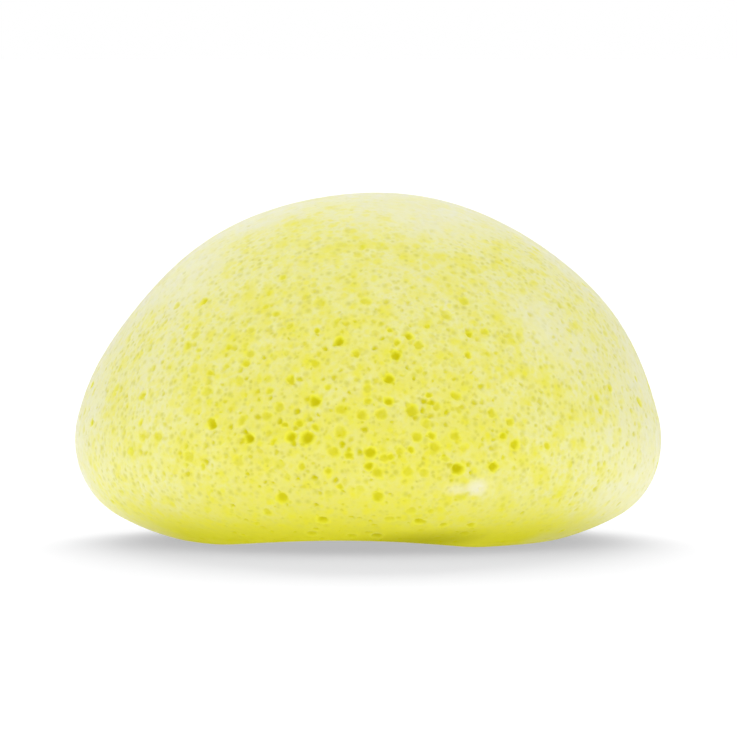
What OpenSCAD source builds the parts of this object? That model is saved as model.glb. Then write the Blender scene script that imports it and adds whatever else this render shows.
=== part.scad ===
// A konjac facial sponge: one moulded dome of soft plant foam, resting on its drawn-in base.
// Millimetres, +Z up. The origin is where the dome's axis meets the surface it stands on, and
// the side towards -Y is its front.

/* [Overall size] */
// Width of the dome at its widest, low down near the base
across = 80; // [70:1:90]
// Height of the crown above the surface that the sponge stands on
height = 47.2; // [42:0.4:56]

/* [Dome] */
// Height of the widest place above the surface
rim_height = 13.6; // [12.4:0.2:16]
// Radius of the full round edge at the widest place
rim_radius = 11.8; // [10:0.1:12.2]
// Radius of the belly, the broad arc that turns under from the rim to the foot
belly_radius = 31; // [26:1:40]

/* [Foot] */
// How far the soft foot is pressed flat
foot_flat = 0.8; // [0.4:0.1:1.1]
// Radius of the rounded hollow that shrinkage leaves in the middle of the base
hollow_radius = 22.5; // [16:0.5:30]
// How far the front and the back of the foot are lifted off the surface
arch_rise = 1.5; // [0.6:0.1:2]
// Width of the lifted stretch where it meets the surface
arch_span = 34; // [26:1:38]
// How far the middle of the lifted stretch lies to the left of the dome's axis
arch_shift = 3; // [0:0.5:5]

/* [Hidden] */

$fn = 96;
foam_colour = [0.9, 0.88, 0.36];
// How far a cut runs past the piece that it cuts
overrun = 5;
// How far the arcs of the outline cross, so that no sliver is left where they meet
lap = 0.002;

// The outline is a half section of arcs that run into each other without a corner. A centre is a
// point [distance from the axis, height], and two arcs meet on the line through their centres.
function direction(from, to) = (to - from) / norm(to - from);

// The rim is the round edge where the dome is widest
rim_centre = [across / 2 - rim_radius, rim_height];

// The crown runs from the rim over the top, centred on the axis
crown_rise = height - rim_height;
crown_radius = (pow(rim_centre.x, 2) + pow(crown_rise, 2) - pow(rim_radius, 2))
    / (2 * (crown_rise - rim_radius));
crown_centre = [0, height - crown_radius];
crown_to_rim = direction(crown_centre, rim_centre);

// The belly runs from the rim to below the surface, by as much as the foot is pressed flat
belly_height = belly_radius - foot_flat;
belly_drift = sqrt(pow(belly_radius - rim_radius, 2) - pow(belly_height - rim_height, 2));
belly_centre = [rim_centre.x - belly_drift, belly_height];
belly_to_rim = direction(belly_centre, rim_centre);

// The hollow is a disc on the axis below the base, and the belly meets it from outside
hollow_drop = sqrt(pow(belly_radius + hollow_radius, 2) - pow(belly_centre.x, 2));
hollow_centre = [0, belly_height - hollow_drop];
hollow_to_belly = direction(hollow_centre, belly_centre);

// The arch is a wide shallow trough from front to back under the foot
arch_radius = (pow(arch_span / 2, 2) + pow(arch_rise, 2)) / (2 * arch_rise);

// A place on the axis that is well inside the foam
middle = [0, height / 2];
// Past every arc
reach = across + height;

module crown_part() {
    intersection() {
        translate(crown_centre) circle(r = crown_radius);
        polygon([
            crown_centre,
            crown_centre + reach * crown_to_rim,
            [reach, reach],
            [0, reach],
        ]);
    }
}

module rim_part() {
    translate(rim_centre) circle(r = rim_radius + lap);
}

module belly_part() {
    intersection() {
        translate(belly_centre) circle(r = belly_radius);
        polygon([middle, rim_centre, rim_centre + reach * belly_to_rim, [0, -reach]]);
    }
}

module hollow_part() {
    inside_belly = hollow_radius + rim_radius;
    difference() {
        polygon([hollow_centre, hollow_centre + inside_belly * hollow_to_belly, middle]);
        translate(hollow_centre) circle(r = hollow_radius + lap);
    }
}

// The parts overlap inside the foam, so that they make one section
module half_section() {
    crown_part();
    rim_part();
    belly_part();
    hollow_part();
}

// Everything below the surface that the sponge stands on
module ground() {
    depth = foot_flat + overrun;
    translate([-across / 2, -across / 2, -depth]) cube([across, across, depth]);
}

module arch() {
    translate([-arch_shift, across / 2, arch_rise - arch_radius])
        rotate([90, 0, 0]) cylinder(r = arch_radius, h = across);
}

module sponge_body() {
    color(foam_colour)
        difference() {
            rotate_extrude() half_section();
            ground();
            arch();
        }
}

sponge_body();
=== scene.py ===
"""A konjac facial sponge: one dome of soft plant foam, as it looks damp and ready for use.

The foam is one piece. Its form is a revolved outline of arcs, pressed flat where it stands and
lifted a little along its foot. Its open cells are real hollows, pressed into a fine mesh by a
One material gives the pale walls with painted sheen, the deep yellow of painted shade inside the
cells and at the foot, a painted glow round the cells' mouths, and the pinholes as dots of painted
shade.
"""

import math
from collections import namedtuple
from functools import reduce

import bmesh
import bpy
import numpy as np
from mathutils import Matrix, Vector
from mathutils.bvhtree import BVHTree


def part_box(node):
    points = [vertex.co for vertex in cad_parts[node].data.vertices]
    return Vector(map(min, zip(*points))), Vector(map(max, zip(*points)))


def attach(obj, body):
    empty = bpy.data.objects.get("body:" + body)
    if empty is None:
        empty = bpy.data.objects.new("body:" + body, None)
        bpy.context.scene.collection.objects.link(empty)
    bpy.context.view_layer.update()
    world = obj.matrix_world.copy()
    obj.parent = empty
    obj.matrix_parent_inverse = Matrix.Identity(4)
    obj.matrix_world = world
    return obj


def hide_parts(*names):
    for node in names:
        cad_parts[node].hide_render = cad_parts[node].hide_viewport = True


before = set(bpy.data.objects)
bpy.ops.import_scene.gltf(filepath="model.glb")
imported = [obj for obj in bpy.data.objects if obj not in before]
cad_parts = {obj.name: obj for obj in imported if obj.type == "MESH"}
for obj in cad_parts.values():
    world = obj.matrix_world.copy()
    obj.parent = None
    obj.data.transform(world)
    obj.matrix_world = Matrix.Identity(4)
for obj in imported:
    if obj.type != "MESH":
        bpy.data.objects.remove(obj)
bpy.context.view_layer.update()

MM = 0.001
BODY = "root"
NODE = "sponge_body"

low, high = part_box(NODE)
ACROSS = high.x - low.x
HEIGHT = high.z - low.z

# The arcs of the outline, as the solid has them
RIM_HEIGHT = 13.6 * MM
RIM_RADIUS = 11.8 * MM
BELLY_RADIUS = 31 * MM
FOOT_FLAT = 0.8 * MM
HOLLOW_RADIUS = 22.5 * MM
ARCH_RISE = 1.5 * MM
ARCH_SPAN = 34 * MM
ARCH_SHIFT = 3 * MM
# How softly the edges of the foot are rounded
FOOT_ROUND = 0.35 * MM

# The camera stands low in front of the sponge. The photograph is square, and the sponge's
# widest place spans SPONGE_PIXELS of its FRAME_PIXELS.
FRAME_PIXELS = 737
SPONGE_PIXELS = 587
PIXEL = ACROSS / SPONGE_PIXELS
CAMERA_DISTANCE = 1.1
CAMERA_ELEVATION = math.radians(2.5)
AIM_HEIGHT = 23.14 * MM
SENSOR = 36.0

# Subdivisions of the ball of triangles that becomes the foam, and of its coarse guide
FOAM_LEVEL = 9
GUIDE_LEVEL = 6


def in_mm(*sizes):
    """Sizes given in millimetres, in the scene's metres."""
    return tuple(size * MM for size in sizes)


def make_camera():
    """A long lens at the photograph's angle, aimed so that the sponge has its place there."""
    data = bpy.data.cameras.new("camera")
    data.sensor_width = SENSOR
    data.lens = SENSOR * CAMERA_DISTANCE / (FRAME_PIXELS * PIXEL)
    data.clip_end = 20
    made = bpy.data.objects.new("camera", data)
    bpy.context.scene.collection.objects.link(made)
    aim = Vector((0, 0, AIM_HEIGHT))
    back = Vector((0, -math.cos(CAMERA_ELEVATION), math.sin(CAMERA_ELEVATION)))
    made.location = aim + CAMERA_DISTANCE * back
    made.rotation_euler = (math.pi / 2 - CAMERA_ELEVATION, 0, 0)
    bpy.context.scene.camera = made
    bpy.context.view_layer.update()
    return made


def through_pixel(form, viewer, across, down):
    """Where the line of sight through a pixel of the photograph meets the form."""
    half = FRAME_PIXELS / 2
    aim = Vector(((across - half) * PIXEL, (half - down) * PIXEL, -CAMERA_DISTANCE))
    way = (viewer.matrix_world.to_3x3() @ aim).normalized()
    return form.ray_cast(viewer.location, way)[0]


# The form of the foam


def direction(a, b):
    return (b - a) / np.linalg.norm(b - a)


def angle_of(way):
    return math.atan2(way[1], way[0])


def arc(centre, radius, start, end, steps=600):
    turn = np.linspace(start, end, steps)
    return centre + radius * np.stack([np.cos(turn), np.sin(turn)], 1)


def outline():
    """The half section from the top of the crown to the middle of the hollow, as points."""
    rim = np.array([ACROSS / 2 - RIM_RADIUS, RIM_HEIGHT])
    rise = HEIGHT - RIM_HEIGHT
    crown_radius = (rim[0] ** 2 + rise**2 - RIM_RADIUS**2) / (2 * (rise - RIM_RADIUS))
    crown = np.array([0, HEIGHT - crown_radius])
    belly_height = BELLY_RADIUS - FOOT_FLAT
    drift = math.sqrt((BELLY_RADIUS - RIM_RADIUS) ** 2 - (belly_height - RIM_HEIGHT) ** 2)
    belly = np.array([rim[0] - drift, belly_height])
    drop = math.sqrt((BELLY_RADIUS + HOLLOW_RADIUS) ** 2 - belly[0] ** 2)
    hollow = np.array([0, belly_height - drop])
    to_rim = angle_of(direction(crown, rim))
    to_belly = angle_of(direction(belly, rim))
    to_hollow = angle_of(direction(belly, hollow))
    from_belly = angle_of(direction(hollow, belly))
    return np.concatenate(
        [
            arc(crown, crown_radius, math.pi / 2, to_rim),
            arc(rim, RIM_RADIUS, to_rim, to_belly)[1:],
            arc(belly, BELLY_RADIUS, to_belly, to_hollow)[1:],
            arc(hollow, HOLLOW_RADIUS, from_belly, math.pi / 2)[1:],
        ]
    )


def smooth_max(a, b, reach):
    """The larger of two heights, with a round of about that reach where they cross."""
    share = np.clip(0.5 + 0.5 * (a - b) / reach, 0, 1)
    return b + (a - b) * share + reach * share * (1 - share)


def lift_of_arch(x):
    """Height of the underside's wide shallow trough, above the surface."""
    radius = ((ARCH_SPAN / 2) ** 2 + ARCH_RISE**2) / (2 * ARCH_RISE)
    return ARCH_RISE - radius + np.sqrt(radius**2 - (x + ARCH_SHIFT) ** 2)


def swell(places):
    """Slow unevenness of a hand-filled mould, as a distance outwards."""
    x, y, z = (places / MM).T
    waves = (
        0.16 * np.sin(x / 9 + 0.8) * np.sin(y / 11 + 0.4)
        + 0.12 * np.sin(x / 5.5 - y / 7 + z / 8)
        + 0.10 * np.sin(y / 6 + z / 5 + 2.1)
    )
    # The right flank is a little fuller than the left, half way up
    flank = 0.5 * np.exp(-(((z - 31) / 9) ** 2)) * np.tanh(x / 25)
    return (waves * np.clip(z / 6, 0, 1) + flank) * MM


def dome_places(ways):
    """Where the points of a unit ball go on the foam's form, all with about equal areas."""
    section = outline()
    steps = np.diff(section, axis=0)
    middles = (section[1:, 0] + section[:-1, 0]) / 2
    grown = np.concatenate([[0], np.cumsum(np.hypot(*steps.T) * middles)])
    share = grown / grown[-1]
    wanted = (1 - ways[:, 2]) / 2
    radius = np.interp(wanted, share, section[:, 0])
    height = np.interp(wanted, share, section[:, 1])
    flat = np.maximum(np.hypot(ways[:, 0], ways[:, 1]), 1e-9)
    return np.stack([ways[:, 0] / flat * radius, ways[:, 1] / flat * radius, height], 1)


def pressed(places):
    """The form as it stands: its foot lies flat, apart from the stretch that is lifted."""
    x = np.clip(places[:, 0], -ARCH_SPAN, ARCH_SPAN)
    ground = smooth_max(np.zeros(len(places)), lift_of_arch(x), FOOT_ROUND)
    ground -= ground.min()
    out = places.copy()
    out[:, 2] = smooth_max(places[:, 2], ground, FOOT_ROUND)
    return out


def ball(level):
    """An even ball of triangles: its mesh, and the ways from its middle to its points."""
    made = bmesh.new()
    bmesh.ops.create_icosphere(made, subdivisions=level, radius=1)
    mesh = bpy.data.meshes.new("foam")
    made.to_mesh(mesh)
    made.free()
    ways = np.empty(len(mesh.vertices) * 3, np.float32)
    mesh.vertices.foreach_get("co", ways)
    ways = ways.reshape(-1, 3).astype(float)
    return mesh, ways / np.linalg.norm(ways, axis=1)[:, None]


def dome(level, name):
    """The foam's smooth form, before its cells are opened, and the ways of its ball."""
    mesh, ways = ball(level)
    places = dome_places(ways)
    mesh.vertices.foreach_set("co", places.astype(np.float32).ravel())
    mesh.update()
    normals = np.empty(len(mesh.vertices) * 3, np.float32)
    mesh.vertices.foreach_get("normal", normals)
    places = pressed(places + normals.reshape(-1, 3) * swell(places)[:, None])
    mesh.vertices.foreach_set("co", places.astype(np.float32).ravel())
    mesh.polygons.foreach_set("use_smooth", np.ones(len(mesh.polygons), bool))
    mesh.update()
    mesh.name = name
    made = bpy.data.objects.new(name, mesh)
    bpy.context.scene.collection.objects.link(made)
    return made, ways


def lay_out(mesh, ways):
    """A UV map for the foam: the upper and the lower half each fill a disc."""
    disc_radius = 0.235
    corners = np.empty(len(mesh.loops), np.int32)
    mesh.loops.foreach_get("vertex_index", corners)
    corners = corners.reshape(-1, 3)
    x, y, z = ways[corners, 0], ways[corners, 1], ways[corners, 2]
    upper = (z.mean(1) > 0)[:, None]
    side = np.where(upper, 1, -1)
    flat = np.maximum(np.hypot(x, y), 1e-9)
    reach = disc_radius * np.sqrt(np.clip(1 - side * z, 0, 2))
    u = np.where(upper, 0.25, 0.75) + reach * x / flat
    v = 0.5 + side * reach * y / flat
    layer = mesh.uv_layers.new(name="OFBake")
    layer.data.foreach_set("uv", np.stack([u, v], -1).astype(np.float32).ravel())


class Tree:
    """Writes a node tree: each call adds a node and gives an output of it."""

    def __init__(self, tree):
        self.tree = tree

    def feed(self, node, name, value):
        """Sets or links the input of that name, or of that number."""
        if isinstance(name, int):
            socket = node.inputs[name]
        else:
            socket = next(s for s in node.inputs if s.enabled and s.name == name)
        if isinstance(value, bpy.types.NodeSocket):
            self.tree.links.new(value, socket)
        else:
            socket.default_value = value

    def add(self, kind, settings=None, out=0, **inputs):
        """Adds a node with these settings and named inputs. Gives its output of that number."""
        node = self.tree.nodes.new(kind)
        for name, value in (settings or {}).items():
            setattr(node, name, value)
        for name, value in inputs.items():
            self.feed(node, name.replace("_", " "), value)
        return [s for s in node.outputs if s.enabled][out]

    def fill(self, kind, *inputs, **settings):
        """Adds a node with these settings, and with its inputs in their order."""
        node = self.add(kind, settings).node
        for number, value in enumerate(inputs):
            self.feed(node, number, value)
        return next(s for s in node.outputs if s.enabled)

    def math(self, operation, *values):
        return self.fill("ShaderNodeMath", *values, operation=operation)

    def product(self, *values):
        return reduce(lambda a, b: self.math("MULTIPLY", a, b), values)

    def greatest(self, *values):
        return reduce(lambda a, b: self.math("MAXIMUM", a, b), values)

    def vector(self, operation, *values, scale=None):
        made = self.fill("ShaderNodeVectorMath", *values, operation=operation)
        if scale is not None:
            self.feed(made.node, "Scale", scale)
        return made

    def step(self, value, start, end, low=0.0, high=1.0):
        """Goes smoothly from low to high while the value goes from start to end."""
        return self.fill(
            "ShaderNodeMapRange", value, start, end, low, high, interpolation_type="SMOOTHSTEP"
        )

    def between(self, share, none, whole):
        """Goes smoothly from the first number to the second as the share goes from 0 to 1."""
        return self.step(share, 0.0, 1.0, none, whole)

    def noise(self, place, size, detail=2.0, out=0):
        """Even noise whose bumps are about that size. It runs from 0 to 1."""
        return self.add(
            "ShaderNodeTexNoise", out=out, Vector=place, Scale=1 / size, Detail=detail
        )

    def blobs(self, place, gap, inner, outer):
        """Soft spots of uneven strength, from 0 to 1, strewn with about that gap. Each fades from
        the inner to the outer share of the gap."""
        away = self.add("ShaderNodeTexVoronoi", Vector=place, Scale=1 / gap)
        draw = self.add("ShaderNodeSeparateColor", Color=away.node.outputs["Color"])
        return self.product(self.step(away, inner, outer, 1.0, 0.0), self.step(draw, 0.15, 0.9))

    def smudge(self, place, middle, reaches):
        """One soft spot, with these reaches along the three axes."""
        off = self.vector("DIVIDE", self.vector("SUBTRACT", place, tuple(middle)), reaches)
        return self.step(self.vector("LENGTH", off), 0.2, 1.0, 1.0, 0.0)

    def mix(self, share, first, second):
        """Goes from the first colour to the second as the share goes from 0 to 1."""
        return self.add(
            "ShaderNodeMix", {"data_type": "RGBA"}, Factor=share, A=first, B=second
        )


# The open cells

# The cells that stand out in front: their places in the photograph in pixels, their width there
# in pixels, and how dark they look there, from 0 to 1
SEEN_CELLS = (
    (212, 424, 11, 0.75),
    (249, 438, 12, 0.8),
    (291, 437, 11, 0.7),
    (307, 438, 14, 0.7),
    (299, 423, 8, 0.55),
    (315, 427, 7, 0.5),
    (315, 401, 12, 0.7),
    (339, 341, 10, 0.75),
    (396, 355, 11, 0.75),
    (389, 379, 11, 0.7),
    (389, 401, 10, 0.7),
    (412, 411, 13, 0.5),
    (458, 469, 13, 0.85),
    (493, 467, 11, 0.7),
    (370, 453, 12, 0.65),
    (369, 466, 10, 0.6),
    (378, 473, 12, 0.45),
    (341, 432, 14, 0.35),
    (334, 452, 12, 0.4),
    (349, 455, 9, 0.55),
    (384, 458, 10, 0.4),
    (417, 437, 10, 0.45),
    (432, 436, 9, 0.55),
    (411, 450, 8, 0.55),
    (435, 447, 13, 0.4),
    (400, 451, 10, 0.35),
    (426, 424, 10, 0.35),
    (408, 472, 11, 0.35),
    (456, 396, 10, 0.45),
    (362, 415, 11, 0.45),
    (381, 414, 12, 0.4),
    (341, 409, 11, 0.4),
    (291, 380, 9, 0.5),
    (246, 363, 10, 0.45),
    (207, 391, 12, 0.35),
    (189, 457, 12, 0.35),
    (238, 462, 13, 0.3),
    (429, 395, 6, 0.55),
    (430, 402, 6, 0.5),
    (436, 407, 8, 0.4),
    (409, 336, 9, 0.6),
    (469, 334, 8, 0.6),
    (468, 355, 8, 0.5),
    (229, 347, 8, 0.45),
    (503, 436, 8, 0.55),
    (515, 445, 11, 0.55),
    (492, 413, 10, 0.4),
    (510, 422, 9, 0.45),
    (282, 498, 13, 0.55),
    (378, 497, 12, 0.5),
    (323, 520, 11, 0.6),
    (419, 522, 11, 0.6),
    (377, 536, 12, 0.6),
    (444, 525, 10, 0.45),
    (471, 525, 10, 0.45),
    (312, 534, 12, 0.45),
    (352, 536, 11, 0.4),
    (390, 519, 10, 0.35),
    (411, 511, 10, 0.35),
    (431, 511, 8, 0.35),
    (267, 512, 10, 0.35),
    (340, 487, 8, 0.45),
    (329, 494, 9, 0.25),
    (424, 472, 10, 0.35),
    (321, 302, 12, 0.35),
    (276, 314, 9, 0.4),
    (290, 325, 8, 0.4),
    (251, 330, 10, 0.35),
    (283, 277, 7, 0.4),
    (365, 301, 11, 0.35),
    (390, 330, 6, 0.5),
    (317, 330, 6, 0.55),
    (464, 301, 10, 0.35),
    (446, 315, 12, 0.3),
    (485, 332, 8, 0.4),
    (381, 247, 14, 0.25),
    (339, 245, 9, 0.25),
    (361, 247, 9, 0.3),
    (334, 255, 10, 0.2),
    (250, 353, 10, 0.35),
    (315, 364, 9, 0.4),
    (204, 301, 9, 0.5),
    (390, 457, 7, 0.5),
    (158, 437, 12, 0.35),
    (547, 446, 7, 0.45),
    (226, 367, 7, 0.35),
    (210, 373, 7, 0.45),
    (240, 381, 10, 0.3),
    (194, 369, 9, 0.3),
    (266, 416, 11, 0.35),
    (328, 387, 7, 0.45),
    (367, 389, 10, 0.35),
    (419, 370, 9, 0.3),
    (427, 326, 5, 0.45),
    (265, 307, 7, 0.35),
    (279, 464, 11, 0.25),
    (445, 459, 8, 0.35),
    (360, 489, 9, 0.25),
    (460, 497, 11, 0.3),
)
# How deep one of them would be that looks fully dark, as a share of its width
DARKEST_DEPTH = 0.55
# No strewn cell has its middle this near to one of them
CLEAR_OF_SEEN = 1.5 * MM

FOAM_SEED = 11

# The kinds of strewn cells. In millimetres: the least gap between middles, and the least and the
# greatest width. As shares: the least and the greatest depth, of the width, the places taken, of
# all there are, and where the painted shade inside begins to fade, of the mouth's radius.
CELL_SIZES = ("gap", "least width", "greatest width")
CellKind = namedtuple("CellKind", "name sizes shallow deep taken core")
CELL_KINDS = (
    CellKind("Large", in_mm(1.8, 0.9, 1.6), 0.08, 0.6, 0.8, 0.5),
    CellKind("Middling", in_mm(1.1, 0.5, 1.15), 0.06, 0.42, 1.0, 0.3),
    CellKind("Small", in_mm(0.72, 0.32, 0.66), 0.06, 0.34, 1.0, 0.1),
)
# The higher these powers, the fewer cells are wide and the fewer are deep
WIDTH_POWER = 1.6
DEPTH_POWER = 1.8
# The higher this power, the flatter is the bottom of a cell
BOWL_POWER = 2.4
# How much narrower a cell is along the way that it leans
LEAN = 0.45
# The mouths' uneven edges: the size of their bends, and how far those reach
MOUTH_BENDS = (in_mm(1.1, 0.75), in_mm(0.45, 0.22))
SKIN_ROUGHNESS = 0.05 * MM
ROUGHNESS_SIZE = 0.5 * MM

# The middles of the coarser stretches of foam: one in front, two at the back
COARSE_PLACES = (in_mm(-3, -38, 15), in_mm(15, 36, 17), in_mm(-14, 36, 13))
# Each stretch begins to change at the first of two places and has changed at the second. Some
# are distances from those middles, from the axis, or towards the back.
COARSE_FADES = in_mm(9, 30)
PALE_BEGINS = in_mm(26, 52)
BASE_FADES = in_mm(18, 25)
FRONT_ENDS = in_mm(-34, -10)
# The others are heights above the surface
BASE_ENDS = in_mm(8, 12)
LARGE_BEGIN = in_mm(8, 12)
LARGE_END = in_mm(24, 38)
FINE_BEGIN = in_mm(3, 13)
FINE_THIN_OUT = in_mm(36, 46)
CELLS_FLATTEN = in_mm(24, 42)
# The edge of the pale stretches wanders: the size of its bends, and how far those reach
PALE_BEND = 14 * MM
PALE_WANDER = 45 * MM
# The size of the clusters that the large cells stand in
CLUSTER = 9 * MM


def seen_cells(form, viewer):
    """The cells that stand out, as loose points on the form with their radii and depths."""
    mesh = bpy.data.meshes.new("seen_cells")
    places, radii, depths = [], [], []
    for across, down, width, darkness in SEEN_CELLS:
        places.append(through_pixel(form, viewer, across, down))
        radii.append(width * PIXEL / 2)
        depths.append(width * PIXEL * darkness * DARKEST_DEPTH)
    mesh.from_pydata(places, [], [])
    for name, values in (("mouth", radii), ("depth", depths)):
        mesh.attributes.new(name, "FLOAT", "POINT").data.foreach_set("value", values)
    made = bpy.data.objects.new("seen_cells", mesh)
    bpy.context.scene.collection.objects.link(made)
    return made


def store(t, geometry, values, kind="FLOAT"):
    """Keeps these values on the points of the geometry, by name."""
    for name, value in values.items():
        geometry = t.add(
            "GeometryNodeStoreNamedAttribute",
            {"data_type": kind},
            Geometry=geometry,
            Name=name,
            Value=value,
        )
    return geometry


def stored(t, name, kind="FLOAT"):
    return t.add("GeometryNodeInputNamedAttribute", {"data_type": kind}, Name=name)


def draw(t, seed, power):
    """A random number from 0 to 1 for each point. The higher the power, the smaller most are."""
    even = t.add("FunctionNodeRandomValue", {"data_type": "FLOAT"}, Seed=seed)
    return t.math("POWER", even, power)


def stretches(t, place, up):
    """Where the foam is coarse, where it is pale, with painted sheen, and where its base is, as
    shares by name.
    """
    away = ACROSS
    for middle in COARSE_PLACES:
        away = t.math("MINIMUM", away, t.vector("DISTANCE", place, middle))
    # The pale stretches lie away from the coarse ones: their skin is smoother, and the material
    # gives them painted sheen.
    wander = t.math("SUBTRACT", t.noise(place, PALE_BEND, 1.0), 0.5)
    from_axis = t.vector("LENGTH", t.vector("MULTIPLY", place, (1.0, 1.0, 0.0)))
    return {
        "coarse": t.step(away, *COARSE_FADES, 1.0, 0.0),
        "pale": t.step(t.math("MULTIPLY_ADD", wander, PALE_WANDER, away), *PALE_BEGINS),
        "base": t.product(
            t.step(from_axis, *BASE_FADES, 1.0, 0.0), t.step(up, *BASE_ENDS, 1.0, 0.0)
        ),
    }


def crowding(t, place, up, foam_is):
    """The shares of places with a large cell and with one of the others. The large ones crowd the
    lower half of the dome and the base. The crown and the belly have a finer skin."""
    large = t.product(
        t.step(up, *LARGE_BEGIN, 0.25, 1.0),
        t.step(up, *LARGE_END, 1.0, 0.03),
        t.step(t.noise(place, CLUSTER, 1.0), 0.36, 0.6, 0.35, 1.0),
        t.between(foam_is["coarse"], 0.4, 1.0),
    )
    fine = t.product(t.step(up, *FINE_BEGIN, 0.2, 1.0), t.step(up, *FINE_THIN_OUT, 1.0, 0.6))
    base = foam_is["base"]
    return t.greatest(large, t.product(base, 0.6)), t.greatest(fine, base)


def wandering(t, place):
    """The place, moved a little, so that the mouths that are measured from it aren't round."""
    asked = place
    for size, reach in MOUTH_BENDS:
        drift = t.vector("SUBTRACT", t.noise(place, size, out=1), (0.5, 0.5, 0.5))
        asked = t.vector("ADD", asked, t.vector("SCALE", drift, scale=reach))
    return asked


def strewn_cells(t, given, number, crowd, flatter):
    """One kind of cell, strewn on the guide as points that hold their radius and depth."""
    kind = CELL_KINDS[number]
    gap, least, most = (given[f"{kind.name} {size}"] for size in CELL_SIZES)
    points = t.add(
        "GeometryNodeDistributePointsOnFaces",
        {"distribute_method": "POISSON"},
        Mesh=t.add("GeometryNodeObjectInfo", out=4, Object=given["Guide"]),
        Distance_Min=gap,
        Density_Max=t.math("DIVIDE", 3.0, t.math("POWER", gap, 2.0)),
        Density_Factor=t.product(crowd, kind.taken),
        Seed=t.math("ADD", given["Seed"], float(number)),
    )
    wide, deep = draw(t, 10 * number, WIDTH_POWER), draw(t, 10 * number + 1, DEPTH_POWER)
    width = t.math("ADD", least, t.product(wide, t.math("SUBTRACT", most, least)))
    depth = t.math("ADD", kind.shallow, t.product(deep, kind.deep - kind.shallow))
    depth = t.product(width, depth, flatter)
    if kind.name == "Large":
        # In front, the deep ones are those in the list
        front = t.add("ShaderNodeSeparateXYZ", out=1, Vector=t.add("GeometryNodeInputPosition"))
        depth = t.product(depth, t.step(front, *FRONT_ENDS, 0.5, 1.0))
    return store(t, points, {"mouth": t.product(width, 0.5), "depth": depth})


def with_seen(t, given, points):
    """The strewn cells and those that stand out, with room around each of those."""
    seen = t.add("GeometryNodeObjectInfo", out=4, Object=given["Seen cells"])
    seen = t.add("GeometryNodeMeshToPoints", Mesh=seen)
    away = t.add("GeometryNodeProximity", {"target_element": "POINTS"}, 1, Geometry=seen)
    near = t.add("FunctionNodeCompare", {"operation": "LESS_THAN"}, A=away, B=CLEAR_OF_SEEN)
    points = t.add("GeometryNodeDeleteGeometry", Geometry=points, Selection=near)
    both = t.fill("GeometryNodeJoinGeometry", points)
    t.feed(both.node, 0, seen)
    return both


def leaning(t, points, seed):
    """The cells, each with a way of its own along which it is narrower."""
    lean = t.add(
        "FunctionNodeRandomValue",
        {"data_type": "FLOAT_VECTOR"},
        Min=(-1.0, -1.0, -1.0),
        Max=(1.0, 1.0, 1.0),
        Seed=seed,
    )
    return store(t, points, {"lean": lean}, "FLOAT_VECTOR")


def nearest_cell(t, points, asked):
    """How far the asked place lies from the middle of its nearest cell, as a share of the
    mouth's radius, and that cell's radius and depth."""
    index = t.add("GeometryNodeSampleNearest", Geometry=points, Sample_Position=asked)

    def held(value, kind="FLOAT"):
        return t.add(
            "GeometryNodeSampleIndex",
            {"data_type": kind},
            Geometry=points,
            Value=value,
            Index=index,
        )

    middle = held(t.add("GeometryNodeInputPosition"), "FLOAT_VECTOR")
    lean = held(stored(t, "lean", "FLOAT_VECTOR"), "FLOAT_VECTOR")
    mouth, depth = held(stored(t, "mouth")), held(stored(t, "depth"))
    off = t.vector("SUBTRACT", asked, middle)
    along = t.vector("DOT_PRODUCT", off, lean)
    squared = t.math("ADD", t.vector("DOT_PRODUCT", off, off), t.product(along, along, LEAN))
    return t.math("DIVIDE", t.math("SQRT", squared), mouth), mouth, depth


def tree_inputs(tree):
    """Gives the node tree its named inputs and its output."""
    face = tree.interface
    wanted = [
        ("Foam", "Geometry", None),
        ("Guide", "Object", None),
        ("Seen cells", "Object", None),
        ("Material", "Material", None),
        ("Seed", "Int", FOAM_SEED),
        ("Roughness of the skin", "Float", SKIN_ROUGHNESS),
    ]
    for kind in CELL_KINDS:
        for size, value in zip(CELL_SIZES, kind.sizes):
            wanted.append((f"{kind.name} {size}", "Float", value))
    for name, kind, value in wanted:
        socket = face.new_socket(name, in_out="INPUT", socket_type="NodeSocket" + kind)
        if value is not None:
            socket.default_value = value
    face.new_socket("Foam", in_out="OUTPUT", socket_type="NodeSocketGeometry")
    return tree.nodes.new("NodeGroupInput").outputs


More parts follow.
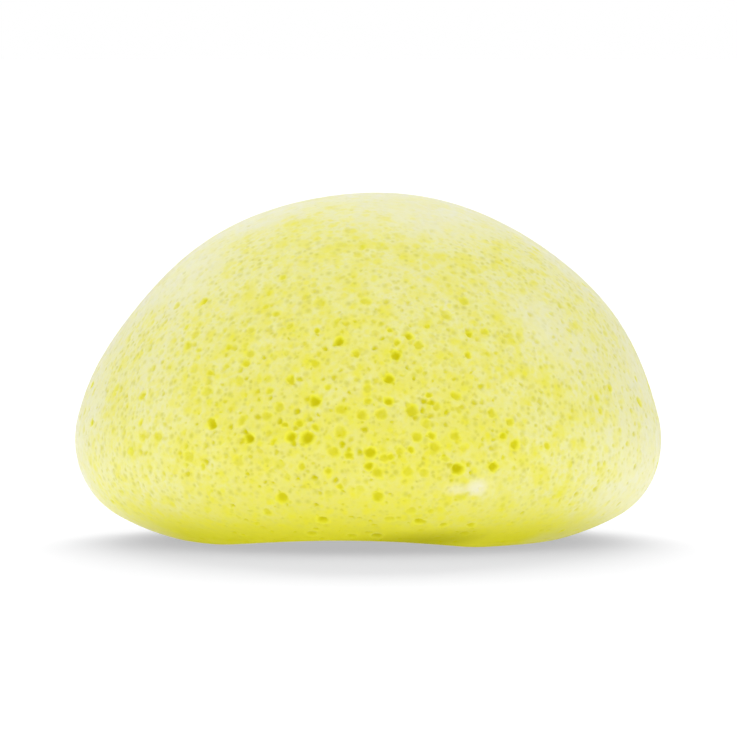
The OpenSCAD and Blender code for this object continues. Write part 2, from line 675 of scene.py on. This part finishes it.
def cell_tree():
    """The node tree that opens the cells. It takes the smooth form, a coarse guide of the same
    form that the cells are strewn on, and the cells that stand out."""
    tree = bpy.data.node_groups.new("open_cells", "GeometryNodeTree")
    tree.is_modifier = True
    given = tree_inputs(tree)
    t = Tree(tree)
    place = t.add("GeometryNodeInputPosition")
    up = t.add("ShaderNodeSeparateXYZ", out=2, Vector=place)
    foam_is = stretches(t, place, up)
    large, fine = crowding(t, place, up, foam_is)
    flatter = t.product(
        t.step(up, *CELLS_FLATTEN, 1.0, 0.6), t.between(foam_is["coarse"], 0.6, 1.0)
    )
    asked = wandering(t, place)

    hollow, colours = 0.0, {}
    for number, (kind, crowd) in enumerate(zip(CELL_KINDS, (large, fine, fine))):
        points = strewn_cells(t, given, number, crowd, flatter)
        if kind.name == "Large":
            points = with_seen(t, given, points)
        points = leaning(t, points, 10 * number + 7)
        share, mouth, deep = nearest_cell(t, points, asked)
        bowl = t.math("SUBTRACT", 1.0, t.math("POWER", share, BOWL_POWER))
        hollow = t.greatest(hollow, t.product(deep, bowl))
        # The deeper a cell is, the stronger is the painted shade inside it
        strength = t.step(t.math("DIVIDE", deep, mouth), 0.0, 0.8)
        colours[kind.name] = t.product(strength, t.step(share, kind.core, 1.1, 1.0, 0.0))
        if kind.name == "Large":
            # A painted glow around the mouth of each large cell
            brim = t.product(strength, t.step(share, 0.9, 1.5, 0.9, 0.0))

    rough = t.product(t.noise(place, ROUGHNESS_SIZE, 3.0), given["Roughness of the skin"])
    kept = {
        "hollow": hollow,
        "tint": t.greatest(colours["Large"], colours["Middling"]),
        "pore": colours["Small"],
        "brim": brim,
        "rough": rough,
        **foam_is,
    }
    foam = store(t, given["Foam"], kept)
    inwards = t.product(t.math("ADD", stored(t, "hollow"), stored(t, "rough")), -1.0)
    offset = t.vector("SCALE", t.add("GeometryNodeInputNormal"), scale=inwards)
    foam = t.add("GeometryNodeSetPosition", Geometry=foam, Offset=offset)
    foam = t.add("GeometryNodeRealizeInstances", Geometry=foam)
    foam = t.add("GeometryNodeSetMaterial", Geometry=foam, Material=given["Material"])
    t.feed(tree.nodes.new("NodeGroupOutput"), 0, foam)
    return tree


def open_cells(foam, guide, seen, material):
    """Runs the node tree on the smooth form and keeps what it makes as a plain mesh."""
    tree = cell_tree()
    modifier = foam.modifiers.new("open_cells", "NODES")
    modifier.node_group = tree
    sockets = {s.name: s.identifier for s in tree.interface.items_tree if s.in_out == "INPUT"}
    modifier[sockets["Guide"]] = guide
    modifier[sockets["Seen cells"]] = seen
    modifier[sockets["Material"]] = material
    graph = bpy.context.evaluated_depsgraph_get()
    smooth = foam.data
    foam.data = bpy.data.meshes.new_from_object(
        foam.evaluated_get(graph), preserve_all_data_layers=True, depsgraph=graph
    )
    foam.modifiers.clear()
    foam.data.name = foam.name
    for helper in (guide, seen):
        bpy.data.objects.remove(helper)
    bpy.data.meshes.remove(smooth)


# The material of the foam


def linear(red, green, blue):
    """A colour as shown, from 0 to 255, as the shader takes it."""
    shown = np.array([red, green, blue]) / 255
    return (*np.where(shown <= 0.04045, shown / 12.92, ((shown + 0.055) / 1.055) ** 2.4), 1.0)


# The walls of the cells: where the foam is fine, at its pale flanks, where the colour is painted
# sheen, and where it is coarse. Then the painted shade of the foot, and a pale haze.
WALL_PALE = linear(240, 238, 164)
WALL_PAINTED_SHEEN = linear(243, 242, 203)
WALL_DEEP = linear(237, 233, 131)
FOOT_SHADE_YELLOW = linear(234, 228, 0)
HAZE = linear(243, 241, 188)
# What shows through the skin; the painted shade inside the cells; the painted glow around their
# mouths; and the painted shade in the pinholes
UNDER_YELLOW = linear(240, 234, 44)
CELL_SHADE_YELLOW = linear(225, 220, 8)
BRIM_GLOW_YELLOW = linear(247, 243, 64)
PINHOLE_SHADE = linear(211, 207, 74)

# Heights above the surface where the colour, the pinholes and the gloss change
PAINTED_SHEEN_RISES = in_mm(8, 42)
FOOT_SHADE_FADES = in_mm(1, 9)
HAZE_BEGINS = in_mm(2, 8)
PINHOLES_BEGIN = in_mm(2, 9)
PINHOLES_THIN_OUT = in_mm(38, 46)
GLOSS_BEGINS = in_mm(1, 12)

HAZE_SIZE = 6 * MM
# The soft yellow patches of the cells under the skin: their sizes in millimetres and strengths
UNDER_CLOUDS = ((4.0, 0.3), (1.5, 0.22), (0.5, 0.2))
UNDER_BLOBS = ((2.6, 0.5), (1.6, 0.6), (1.0, 0.45))
# The pinholes: the gap between them in millimetres, and their reach as a share of it
PINHOLES = ((1.3, 0.5), (0.85, 0.52))
GRAIN = 0.22 * MM
GRAIN_DEPTH = 0.05 * MM
# How far light travels in the damp foam, and the shares of that for red, green and blue
SCATTER = 6 * MM
SCATTER_SHARES = (1.0, 0.95, 0.3)

# Painted shade: the foot is darker right of the middle, low where it meets the floor
DARK_FOOT_SHADE = linear(180, 176, 0)
DARK_FOOT_PLACE = in_mm(7, -29.5, 0)
DARK_FOOT_REACHES = in_mm(15, 7, 4.5)
DARK_FOOT_STRENGTH = 0.85

# One whitish fleck, low on the front, that trails off to the left. Its smudges
# each have a place along X from the pixel, reaches and a strength.
FLECK = linear(247, 243, 212)
FLECK_PIXEL = (475, 488)
FLECK_SMUDGES = (
    (0.3 * MM, in_mm(2.1, 2.0, 1.7), 0.9),
    (-2.9 * MM, in_mm(2.8, 2.2, 1.3), 0.6),
    (1.6 * MM, in_mm(3.2, 3.0, 2.3), 0.3),
)


def walls(t, place, up, foam_is):
    """The colour of the walls. The coarser foam is deeper in colour and pales upwards, which is
    painted sheen towards the crown, as is the pale colour of the pale stretches. Painted shade
    gives the foot a deep saturated yellow, and a pale haze lies over the rest."""
    # Painted sheen: the deep colour of the coarse foam pales upwards towards the crown
    damp = t.product(t.step(up, *PAINTED_SHEEN_RISES, 1.0, 0.0), foam_is["coarse"])
    colour = t.mix(damp, WALL_PALE, WALL_DEEP)
    # Painted sheen: the pale stretches of the flanks and the crown are paler
    colour = t.mix(foam_is["pale"], colour, WALL_PAINTED_SHEEN)
    # Painted shade: the underside near the foot is a deep, saturated yellow
    foot = t.product(
        t.step(up, *FOOT_SHADE_FADES, 1.0, 0.0),
        t.between(foam_is["pale"], 1.0, 0.6),
        t.between(foam_is["base"], 1.0, 0.4),
    )
    colour = t.mix(foot, colour, FOOT_SHADE_YELLOW)
    haze = t.product(
        t.step(t.noise(place, HAZE_SIZE, 3.0), 0.5, 0.72, 0.0, 0.6),
        t.step(up, *HAZE_BEGINS),
        t.between(foam_is["coarse"], 1.0, 0.45),
    )
    return t.mix(haze, colour, HAZE)


def under_skin(t, place, pale, colour):
    """The colour with the cells just under the skin, which show as soft yellow patches."""
    thick = t.between(pale, 1.0, 0.4)
    for size, strength in UNDER_CLOUDS:
        cloud = t.step(t.noise(place, size * MM, 3.0), 0.44, 0.66)
        colour = t.mix(t.product(cloud, thick, strength), colour, UNDER_YELLOW)
    for size, strength in UNDER_BLOBS:
        blob = t.blobs(place, size * MM, 0.1, 0.62)
        colour = t.mix(t.product(blob, thick, strength), colour, UNDER_YELLOW)
    return colour


def foam_material(fleck_place):
    """Damp konjac foam: pale walls with painted sheen, deep yellow painted shade inside the
    cells, a painted glow round their mouths, and pinholes painted as dots of shade.
    """
    material = bpy.data.materials.new("konjac_foam")
    material.use_nodes = True
    shader = material.node_tree.nodes["Principled BSDF"]
    t = Tree(material.node_tree)
    place = t.add("ShaderNodeTexCoord", out=3)
    up = t.add("ShaderNodeSeparateXYZ", out=2, Vector=place)
    foam_is = {
        name: t.add("ShaderNodeAttribute", {"attribute_name": name}, out=2)
        for name in ("coarse", "pale", "base", "tint", "brim", "pore")
    }
    pale, tint = foam_is["pale"], foam_is["tint"]
    colour = under_skin(t, place, pale, walls(t, place, up, foam_is))

    # Pinholes too small to be hollows in the mesh, painted as dots of shade. The skin of the foot
    # and the crown has fewer.
    fine = t.product(
        t.step(up, *PINHOLES_BEGIN, 0.2, 1.0), t.step(up, *PINHOLES_THIN_OUT, 1.0, 0.3)
    )
    fine = t.greatest(fine, foam_is["base"])
    holes = t.greatest(*(t.blobs(place, gap * MM, 0.0, reach) for gap, reach in PINHOLES))
    holes = t.product(holes, t.between(pale, 0.6, 0.25), fine)
    pores = t.product(foam_is["pore"], t.between(pale, 0.7, 0.3), fine)
    colour = t.mix(holes, colour, PINHOLE_SHADE)
    # Painted glow around the mouths of the large cells
    colour = t.mix(foam_is["brim"], colour, BRIM_GLOW_YELLOW)
    # Painted shade in the small cells
    colour = t.mix(pores, colour, PINHOLE_SHADE)
    # Painted shade inside the larger cells, stronger in the deeper ones
    colour = t.mix(tint, colour, CELL_SHADE_YELLOW)

    # Painted shade at the foot, right of the middle
    dark_foot_shade = t.product(t.smudge(place, DARK_FOOT_PLACE, DARK_FOOT_REACHES), DARK_FOOT_STRENGTH)
    colour = t.mix(dark_foot_shade, colour, DARK_FOOT_SHADE)
    for along, reaches, strength in FLECK_SMUDGES:
        spot = t.smudge(place, fleck_place + Vector((along, 0, 0)), reaches)
        colour = t.mix(t.product(spot, strength), colour, FLECK)

    grain = t.product(t.noise(place, GRAIN, 3.0), 0.6)
    relief = t.math("SUBTRACT", grain, t.product(holes, 0.4))
    for name, value in {
        "Base Color": colour,
        "Roughness": t.between(tint, 0.6, 0.85),
        "Normal": t.add("ShaderNodeBump", Strength=0.3, Distance=GRAIN_DEPTH, Height=relief),
        "Specular IOR Level": 0.05,
        # The skin's gloss is lost at the foot, where it lies in the shade
        "Coat Weight": t.step(up, *GLOSS_BEGINS, 0.0, 0.3),
        "Coat Roughness": 0.45,
        "Coat IOR": 1.3,
        "Subsurface Weight": 1.0,
        "Subsurface Radius": SCATTER_SHARES,
        "Subsurface Scale": SCATTER,
    }.items():
        t.feed(shader, name, value)
    return material


# The floor and the light

FLOOR_SIDE = 24
FLOOR_COLOUR = (0.9, 0.9, 0.9, 1)
# The camera sees the shade on the floor thinned by an even white of this strength
FLOOR_WHITE = 0.145

# The room's even light from all sides
ROOM_LIGHT = 0.38
# Each lamp's strength, spread and turn, in degrees. The room lamp lights the foam and the floor.
# The next three light only the foam: one from above, one level with it and one from below it. The
# light of the last two comes through the floor, as the glow of a white table would. The back lamp
# lights only the floor, and draws the long soft shade there.
ROOM_LAMP = (1.15, 180, (0, 0, 0))
TOP_LAMP = (1.38, 100, (-15, -5, 0))
FRONT_LAMP = (0.95, 120, (88, 0, 2))
LOW_LAMP = (0.6, 110, (156, 0, -2))
BACK_LAMP = (4.2, 52, (-74, 0, 0))


def background_ray(t):
    """1 for a ray that shows the background itself, or its image in gloss or glass."""
    ray = t.add("ShaderNodeLightPath").node.outputs
    return t.greatest(ray["Is Camera Ray"], ray["Is Glossy Ray"], ray["Is Transmission Ray"])


def make_floor():
    """A plain pale floor. It shows white where nothing shades it."""
    material = bpy.data.materials.new("floor")
    material.use_nodes = True
    material.node_tree.nodes.clear()
    t = Tree(material.node_tree)
    pale = t.add("ShaderNodeBsdfDiffuse", Color=FLOOR_COLOUR)
    white = t.add("ShaderNodeEmission", Color=(1, 1, 1, 1), Strength=FLOOR_WHITE)
    thinned = t.fill("ShaderNodeAddShader", pale, white)
    shown = t.fill("ShaderNodeMixShader", background_ray(t), pale, thinned)
    t.feed(t.tree.nodes.new("ShaderNodeOutputMaterial"), "Surface", shown)

    half = FLOOR_SIDE / 2
    mesh = bpy.data.meshes.new("floor")
    corners = [(-half, -half, 0), (half, -half, 0), (half, half, 0), (-half, half, 0)]
    mesh.from_pydata(corners, [], [(0, 1, 2, 3)])
    mesh.materials.append(material)
    made = bpy.data.objects.new("floor", mesh)
    bpy.context.scene.collection.objects.link(made)
    return made


def group_of(name, *objects):
    """A collection that a lamp can be limited to. It isn't part of the scene itself."""
    group = bpy.data.collections.new(name)
    for held in objects:
        group.objects.link(held)
    return group


def make_lamp(name, strength, spread, turn, lit, shading):
    """A broad lamp far away. If it has groups, it lights only the first, and only what is in the
    second throws shade in its light."""
    lamp = bpy.data.lights.new(name, "SUN")
    lamp.energy = strength
    lamp.angle = math.radians(spread)
    # Otherwise the rays that don't see the foam would find the lamp through it
    lamp.cycles.use_multiple_importance_sampling = False
    made = bpy.data.objects.new(name, lamp)
    made.rotation_euler = [math.radians(x) for x in turn]
    if lit:
        made.light_linking.receiver_collection = lit
    if shading:
        made.light_linking.blocker_collection = shading
    bpy.context.scene.collection.objects.link(made)


def make_light(foam, floor):
    """An even white room with broad soft lamps in it."""
    world = bpy.data.worlds.new("room")
    bpy.context.scene.world = world
    world.use_nodes = True
    background = world.node_tree.nodes["Background"]
    t = Tree(world.node_tree)
    t.feed(background, "Color", (1, 1, 1, 1))
    t.feed(background, "Strength", t.between(background_ray(t), ROOM_LIGHT, 1.0))
    # The foam throws no yellow light on the floor: its shade there is plain grey
    foam.visible_diffuse = False
    foam_only = group_of("lit_foam", foam)
    floor_only = group_of("lit_floor", floor)
    make_lamp("room_lamp", *ROOM_LAMP, None, None)
    make_lamp("top_lamp", *TOP_LAMP, foam_only, None)
    make_lamp("front_lamp", *FRONT_LAMP, foam_only, foam_only)
    make_lamp("low_lamp", *LOW_LAMP, foam_only, foam_only)
    make_lamp("back_lamp", *BACK_LAMP, floor_only, None)


camera = make_camera()
guide, _ = dome(GUIDE_LEVEL, "guide")
foam, ways = dome(FOAM_LEVEL, "foam")
lay_out(foam.data, ways)
form = BVHTree.FromObject(guide, bpy.context.evaluated_depsgraph_get())
fleck = through_pixel(form, camera, *FLECK_PIXEL)
open_cells(foam, guide, seen_cells(form, camera), foam_material(fleck))
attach(foam, BODY)
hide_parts(NODE)

make_light(foam, make_floor())
bpy.context.scene.view_settings.view_transform = "Standard"
